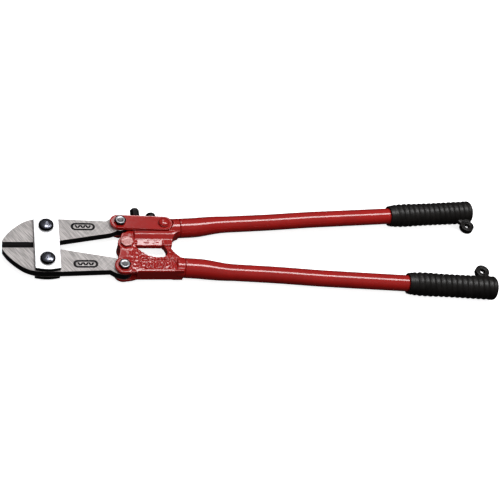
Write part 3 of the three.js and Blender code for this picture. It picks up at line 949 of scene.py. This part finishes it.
class CutterSizes(bpy.types.PropertyGroup):
    """Sizes that a user would change."""

    rib_count: IntProperty(
        name="Ribs", description="Number of ribs on each grip", default=15, min=4, max=30
    )
    rib_pitch: length_setting("Rib pitch", "Distance between ribs", 7.35)
    rib_depth: length_setting("Rib depth", "Depth of the valleys between ribs", 1.3)
    rib_slant: FloatProperty(
        name="Rib slant", description="Lean of the ribs, in pitches", default=0.12
    )
    plate_edge: length_setting("Plate edge", "Rounding of the clamp plates' arrises", 0.5)
    link_edge: length_setting("Link edge", "Rounding of the links' arrises", 0.7)
    jaw_edge: length_setting("Jaw edge", "Rounding of the jaws' arrises", 0.35)
    cast_grid: length_setting("Casting grid", "Spacing of the castings' points", 0.55)


class CutterColours(bpy.types.PropertyGroup):
    """Colours of the finishes."""

    steel: colour_setting("Jaw steel", "Ground steel of the jaws", (0.66, 0.62, 0.61))
    plate: colour_setting("Plate", "Plated clamp plates", (0.93, 0.93, 0.95))
    chrome: colour_setting("Chrome", "Domed clamp bolts", (0.3, 0.31, 0.37))
    # Painted light: this colour is lightened into the tail bolts' painted highlight ring and darkened
    # into their painted-shade dish.
    bolt: colour_setting("Bolt heads", "Worn tops of the tail bolts", (0.4, 0.4, 0.42))
    oxide: colour_setting("Black oxide", "Blackened bolts and screws", (0.012, 0.011, 0.012))
    paint: colour_setting("Paint", "Red enamel", (0.42, 0.012, 0.0095))
    rubber: colour_setting("Rubber", "Grip rubber", (0.006, 0.0052, 0.0048))
    floor: colour_setting("Floor", "Pale floor", (0.92, 0.92, 0.92))


class CutterStage(bpy.types.PropertyGroup):
    """Light and camera."""

    sky: FloatProperty(
        name="Sky", description="Strength of the even light from above", default=0.12, min=0
    )
    key: power_setting("Key light", "Power of the long light overhead", 15.0)
    panel: power_setting("Panel", "Power of the panel that the plates reflect", 1.5)
    fill: power_setting("Fill", "Power of the soft front light", 6.0)
    lens: FloatProperty(name="Lens", description="Focal length", default=77.86, unit="CAMERA")


MAKERS = (
    jaw_steel, plate_steel, dark_chrome, black_oxide, bolt_steel, red_paint_painted_light, red_casting, red_tube,
    grip_rubber, floor_white, backdrop_white,
)
_made = {}


def finished(name):
    """A material by name, made once from the scene's colours."""
    if name not in _made:
        maker = next(maker for maker in MAKERS if maker.__name__ == name)
        _made[name] = maker(bpy.context.scene.cutter_colours)
    return _made[name]


# ---- operators ----


class CUTTER_OT_jaws(bpy.types.Operator):
    """Make the two jaws with their oval stamps"""

    bl_idname = "cutter.jaws"
    bl_label = "Jaws"

    def execute(self, context):
        sizes = context.scene.cutter_sizes
        for node in ("upper_jaw", "lower_jaw"):
            softened(node, node, "jaw_steel", finished("jaw_steel"), sizes.jaw_edge)
            self.stamp(node, 1 if node.startswith("upper") else -1)
        return {"FINISHED"}

    def stamp(self, node, side):
        """An oval ring round a plain plate with a zigzag of bars."""
        black, steel = finished("black_oxide"), finished("jaw_steel")
        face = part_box(node)[1].z
        centre = np.array([STAMP_PLACE[0], side * STAMP_PLACE[1]])
        name = f"{node}_stamp"
        ring = badge_ring(f"{name}_ring", centre, face, STAMP_LENGTH, STAMP_WIDTH, STAMP_BAND, black)
        attach(ring, node, "black_oxide")
        attach(badge_plate(f"{name}_plate", centre, face, *STAMP_PLATE, steel), node, "jaw_steel")
        bars = []
        for k in range(STAMP_BARS):
            x = centre[0] + (k - (STAMP_BARS - 1) / 2) * STAMP_PITCH
            lean = math.radians(60 if k % 2 else 118)
            bars.append(pill("bar", (x, centre[1], face + 0.12 * MM), *STAMP_BAR, lean, black))
        attach(joined(f"{name}_bars", bars), node, "black_oxide")


class CUTTER_OT_clamp(bpy.types.Operator):
    """Make the clamp plates, their domed bolts and nuts"""

    bl_idname = "cutter.clamp"
    bl_label = "Clamp"

    def execute(self, context):
        sizes = context.scene.cutter_sizes
        for node in ("front_clamp_plate", "rear_clamp_plate"):
            softened(node, "clamp", "plate_steel", finished("plate_steel"), sizes.plate_edge)
        chrome, stem_radius = finished("dark_chrome"), 5 * MM
        for name in ("upper", "lower"):
            low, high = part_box(f"{name}_clamp_bolt")
            centre = middle_of(low, high)
            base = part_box("front_clamp_plate")[1].z + 0.1 * MM
            head = domed_head("head", centre, (high.x - low.x) / 2, base, high.z - base, chrome)
            stem = shank("stem", centre, stem_radius, low.z, base + 1 * MM, chrome)
            fitted(f"{name}_clamp_bolt", "clamp", "dark_chrome", head, stem)
            bottom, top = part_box(f"{name}_clamp_nut")
            flats, bore = top.x - bottom.x, stem_radius + CLEARANCE
            nut = hex_head(f"{name}_clamp_nut_finished", centre, flats, bottom.z, top.z, chrome, bore)
            attach(nut, "clamp", "dark_chrome", f"{name}_clamp_nut")
        return {"FINISHED"}


class CUTTER_OT_bolts(bpy.types.Operator):
    """Make the tail bolts, the centre bolt, their nuts and the link rivet"""

    bl_idname = "cutter.bolts"
    bl_label = "Pivot bolts"

    def execute(self, context):
        tail = (TAIL_FLATS, TAIL_SHANK, "bolt_steel", "black_oxide", math.pi / 6)
        centre = (CENTRE_FLATS, CENTRE_SHANK, "red_paint_painted_light", "red_casting", math.pi / 6 + 0.26)
        self.bolt("upper_tail", "adjusting_link", *tail)
        self.bolt("lower_tail", "lower_handle", *tail)
        self.bolt("centre_pivot", "centre_pivot", *centre)
        self.rivet()
        return {"FINISHED"}

    def bolt(self, name, body, flats, stem, look, slot, turn):
        """A hexagon bolt seated as high above the middle plane as its nut is below, and its nut."""
        nut_low, nut_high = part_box(f"{name}_nut")
        low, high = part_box(f"{name}_bolt")
        centre = middle_of(nut_low, nut_high)
        base = nut_high.z + 2 * (MIDDLE - nut_high.z)
        head = hex_head("head", centre, flats, base, high.z - 0.1 * MM, finished(look), turn=turn)
        shaft = shank("stem", centre, stem, low.z, base + 1 * MM, finished(look))
        fitted(f"{name}_bolt", body, slot, head, shaft)
        nut_flats = min(nut_high.x - nut_low.x, nut_high.y - nut_low.y)
        bore, ends = stem + CLEARANCE, (nut_low.z, nut_high.z)
        nut = hex_head(f"{name}_nut_finished", centre, nut_flats, *ends, finished(slot), bore)
        attach(nut, body, slot, f"{name}_nut")

    def rivet(self):
        """The link rivet: a domed head, a shank and a rounder head behind."""
        low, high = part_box("link_rivet")
        centre = middle_of(low, high)
        radius = (high.x - low.x) / 2
        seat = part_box("front_link")[1].z + 0.05 * MM
        red = finished("red_casting")
        front = domed_head("front", centre, radius, seat, high.z - seat, red)
        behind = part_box("rear_link")[0].z
        stem = shank("stem", centre, 4 * MM, behind - 1 * MM, seat + 1 * MM, red)
        arc = np.linspace(0, np.pi / 2, 18)[:-1]
        rear_seat = behind - 0.05 * MM
        depth = rear_seat - low.z
        profile = np.stack([radius * np.cos(arc), rear_seat - depth * np.sin(arc)], axis=1)
        rear = surface("rear", placed(turned_rings(profile, 64), centre), red)
        fitted("link_rivet", "upper_handle", "red_casting", front, stem, rear)


class CUTTER_OT_castings(bpy.types.Operator):
    """Make the two cast handle roots and the links"""

    bl_idname = "cutter.castings"
    bl_label = "Castings and links"

    def execute(self, context):
        sizes = context.scene.cutter_sizes
        red = finished("red_casting")
        grid = sizes.cast_grid
        upper = cast_copy("upper_handle_casting", "upper_casting_finished", red, grid, 8)
        bend_faces(upper, UPPER_BEND, UPPER_REACH)
        roughen(upper, self.upper_flange, 0.12 * MM, 5.0 * MM, 3)
        attach(upper, "upper_handle", "red_casting", "upper_handle_casting")
        lower = cast_copy("lower_handle_casting", "lower_casting_finished", red, grid, 6)
        roughen(lower, self.lower_web, 0.4 * MM, 4.5 * MM, 7)
        bend_faces(lower, LOWER_BEND, LOWER_REACH)
        attach(lower, "lower_handle", "red_casting", "lower_handle_casting")
        for node in ("front_link", "rear_link"):
            smooth = finished("red_tube")
            softened(node, "adjusting_link", "red_casting", smooth, sizes.link_edge, 4, LINK_FACET)
        self.panel_marks(red)
        return {"FINISHED"}

    def upper_flange(self, points):
        """Weight of the rough flange under the upper casting."""
        y = points[:, 1]
        return smoothstep(0.6 * MM, 2.0 * MM, y) * (1 - smoothstep(6 * MM, 8.5 * MM, y))

    def lower_web(self, points):
        """Weight of the rough web, panel and post of the lower casting, on its two faces only."""
        x, y, z = points.T
        along = smoothstep(-167 * MM, -157 * MM, x) * (1 - smoothstep(-109 * MM, -104 * MM, x))
        off_edge = smoothstep(-39.5 * MM, -37 * MM, y)
        face = smoothstep(3 * MM, 4 * MM, np.abs(z - MIDDLE))
        return along * off_edge * face

    def panel_marks(self, material):
        """Generic raised lozenges in the recessed panels."""
        first, pitch, y = -142 * MM, 7.2 * MM, -32.0 * MM
        lozenge = (9.5 * MM, 4.2 * MM, 1.8 * MM)
        for face, side in (("front", 1), ("rear", -1)):
            z, lean = MIDDLE + side * 8.5 * MM, side * math.radians(68)
            marks = [
                pill("mark", (first + pitch * k, y, z), *lozenge, lean, material) for k in range(5)
            ]
            attach(joined(f"lower_casting_{face}_marks", marks), "lower_handle", "red_casting")


class CUTTER_OT_adjuster(bpy.types.Operator):
    """Make the adjusting screw, its block and lock nut, and the cap screw"""

    bl_idname = "cutter.adjuster"
    bl_label = "Adjuster"

    def execute(self, context):
        black = finished("black_oxide")
        self.adjusting_screw(black)
        self.cap_screw(black)
        softened("adjuster_block", "adjusting_link", "black_oxide", black, 0.4 * MM)
        low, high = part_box("adjuster_lock_nut")
        place, ends = self.line(low, high), (low.y, high.y)
        name = "adjuster_lock_nut_finished"
        nut = hex_head(name, place, LOCK_NUT_FLATS, *ends, black, LOCK_NUT_BORE, axis="y")
        attach(nut, "adjusting_link", "black_oxide", "adjuster_lock_nut")
        return {"FINISHED"}

    def line(self, low, high):
        """The place of an axis along Y through the middle of a box, in the middle plane."""
        return ((low.x + high.x) / 2, 0, MIDDLE)

    def adjusting_screw(self, black):
        low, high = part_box("adjusting_screw")
        place, base = self.line(low, high), high.y - ADJUSTER_HEAD
        head = hex_head("head", place, ADJUSTER_FLATS, base, high.y, black, axis="y", chamfer=0.47)
        stem = shank("stem", place, ADJUSTER_SHANK, low.y, base + 1 * MM, black, axis="y")
        fitted("adjusting_screw", "adjusting_screw", "black_oxide", head, stem)

    def cap_screw(self, black):
        low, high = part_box("cap_screw")
        place, base = self.line(low, high), high.y - CAP_HEAD
        radius, ease = (high.x - low.x) / 2, 0.4 * MM
        arc = np.linspace(0, np.pi / 2, 18)[:-1]
        spring = high.y - CAP_DOME
        dome = np.stack([radius * np.cos(arc), spring + CAP_DOME * np.sin(arc)], axis=1)
        foot = [[radius * 0.5, base], [radius - ease, base], [radius, base + ease]]
        cap = surface("cap", placed(turned_rings(np.vstack([foot, dome]), 80), place, "y"), black)
        stem = shank("stem", place, CAP_SHANK, low.y, base + 1 * MM, black, axis="y")
        fitted("cap_screw", "upper_handle", "black_oxide", cap, stem)


class CUTTER_OT_handles(bpy.types.Operator):
    """Make the tube handles and the ribbed grips with their eyelets"""

    bl_idname = "cutter.handles"
    bl_label = "Handles and grips"

    def execute(self, context):
        sizes = context.scene.cutter_sizes
        for name, side in (("upper", 1), ("lower", -1)):
            body = f"{name}_handle"
            tube = handle_tube(f"{name}_tube_finished", side, finished("red_tube"))
            attach(tube, body, "red_tube", f"{name}_handle_tube")
            shell = grip_shell(f"{name}_grip_finished", side, sizes, finished("grip_rubber"))
            attach(shell, body, "grip_rubber", f"{name}_grip")
            eyelet = grip_eyelet(f"{name}_grip_eyelet", side, finished("grip_rubber"))
            attach(eyelet, body, "grip_rubber", f"{name}_grip")
        return {"FINISHED"}


class CUTTER_OT_stage(bpy.types.Operator):
    """Make the pale floor, the soft lights and the camera"""

    bl_idname = "cutter.stage"
    bl_label = "Stage"

    def execute(self, context):
        stage = context.scene.cutter_stage
        half, below, radius = 4.0, CAD_BOX[0][2] - 0.05 * MM, 5.8
        square = ((-half, -half), (half, -half), (half, half), (-half, half))
        corners = np.array([(x, y, below) for x, y in square])
        self.seen_only(object_from("floor", corners, [(0, 1, 2, 3)], finished("floor_white")))
        arc = np.linspace(-np.pi / 2, np.pi / 2, 26)[1:-1]
        dome = turned_rings(radius * np.stack([np.cos(arc), np.sin(arc)], axis=1), 48)
        self.seen_only(surface("backdrop", dome, finished("backdrop_white")))
        self.sky(context, stage.sky)
        self.soft_light("key", KEY_PLACE, KEY_TARGET, KEY_SIZE, stage.key)
        self.soft_light("panel", PANEL_PLACE, PANEL_TARGET, PANEL_SIZE, stage.panel)
        fill = self.soft_light("fill", FILL_PLACE, FILL_TARGET, FILL_SIZE, stage.fill)
        fill.visible_glossy = False
        self.camera(context, stage.lens)
        context.scene.view_settings.view_transform = "Standard"
        return {"FINISHED"}

    def seen_only(self, thing):
        """Keeps a backdrop out of the tool's reflections and bounced light."""
        thing.visible_diffuse = False
        thing.visible_glossy = False
        thing.visible_transmission = False
        thing.visible_shadow = False

    def sky(self, context, strength):
        """Light that grows from almost nothing at the horizon to its full strength overhead."""
        world = bpy.data.worlds.new("sky")
        world.use_nodes = True
        tree = world.node_tree
        direction = tree.nodes.new("ShaderNodeTexCoord").outputs["Generated"]
        parts = tree.nodes.new("ShaderNodeSeparateXYZ")
        tree.links.new(direction, parts.inputs[0])
        up = Number(tree, parts.outputs["Z"]).between(-0.1, 0.9)
        background = tree.nodes["Background"]
        background.inputs["Color"].default_value = (1, 1, 1, 1)
        tree.links.new((up * strength + strength * 0.15).socket, background.inputs["Strength"])
        context.scene.world = world

    def soft_light(self, name, place, target, size, power):
        """A rectangular light at a place, aimed at a target, that the camera doesn't see."""
        lamp = bpy.data.lights.new(name, "AREA")
        lamp.shape = "RECTANGLE"
        lamp.size, lamp.size_y = size
        lamp.energy = power
        thing = bpy.data.objects.new(name, lamp)
        thing.location = place
        thing.rotation_euler = (Vector(target) - Vector(place)).to_track_quat("-Z", "Y").to_euler()
        thing.visible_camera = False
        bpy.context.scene.collection.objects.link(thing)
        return thing

    def camera(self, context, lens):
        """A long lens above and in front of the jaws, turned by angles about X, Y and Z."""
        view = bpy.data.cameras.new("camera")
        view.lens = lens
        view.sensor_width = 36.0
        thing = bpy.data.objects.new("camera", view)
        thing.location = CAMERA_PLACE
        thing.rotation_euler = Euler([math.radians(angle) for angle in CAMERA_TURN])
        context.scene.collection.objects.link(thing)
        context.scene.camera = thing


class CUTTER_PT_panel(bpy.types.Panel):
    """Lists the pieces and their settings"""

    bl_label = "Bolt Cutters"
    bl_idname = "CUTTER_PT_panel"
    bl_space_type = "VIEW_3D"
    bl_region_type = "UI"
    bl_category = "Bolt Cutters"

    def draw(self, context):
        for operator in STEPS:
            self.layout.operator(operator.bl_idname)
        for group in ("cutter_sizes", "cutter_colours", "cutter_stage"):
            settings = getattr(context.scene, group)
            box = self.layout.box()
            for name in settings.__annotations__:
                box.prop(settings, name)


STEPS = (
    CUTTER_OT_stage,
    CUTTER_OT_jaws,
    CUTTER_OT_clamp,
    CUTTER_OT_castings,
    CUTTER_OT_bolts,
    CUTTER_OT_adjuster,
    CUTTER_OT_handles,
)
CLASSES = (CutterSizes, CutterColours, CutterStage, *STEPS, CUTTER_PT_panel)


def register():
    for kind in CLASSES:
        bpy.utils.register_class(kind)
    bpy.types.Scene.cutter_sizes = PointerProperty(type=CutterSizes)
    bpy.types.Scene.cutter_colours = PointerProperty(type=CutterColours)
    bpy.types.Scene.cutter_stage = PointerProperty(type=CutterStage)


def unregister():
    for name in ("cutter_sizes", "cutter_colours", "cutter_stage"):
        delattr(bpy.types.Scene, name)
    for kind in reversed(CLASSES):
        bpy.utils.unregister_class(kind)


def main():
    register()
    for step in STEPS:
        group, name = step.bl_idname.split(".")
        getattr(getattr(bpy.ops, group), name)()


if __name__ == "__main__":
    main()
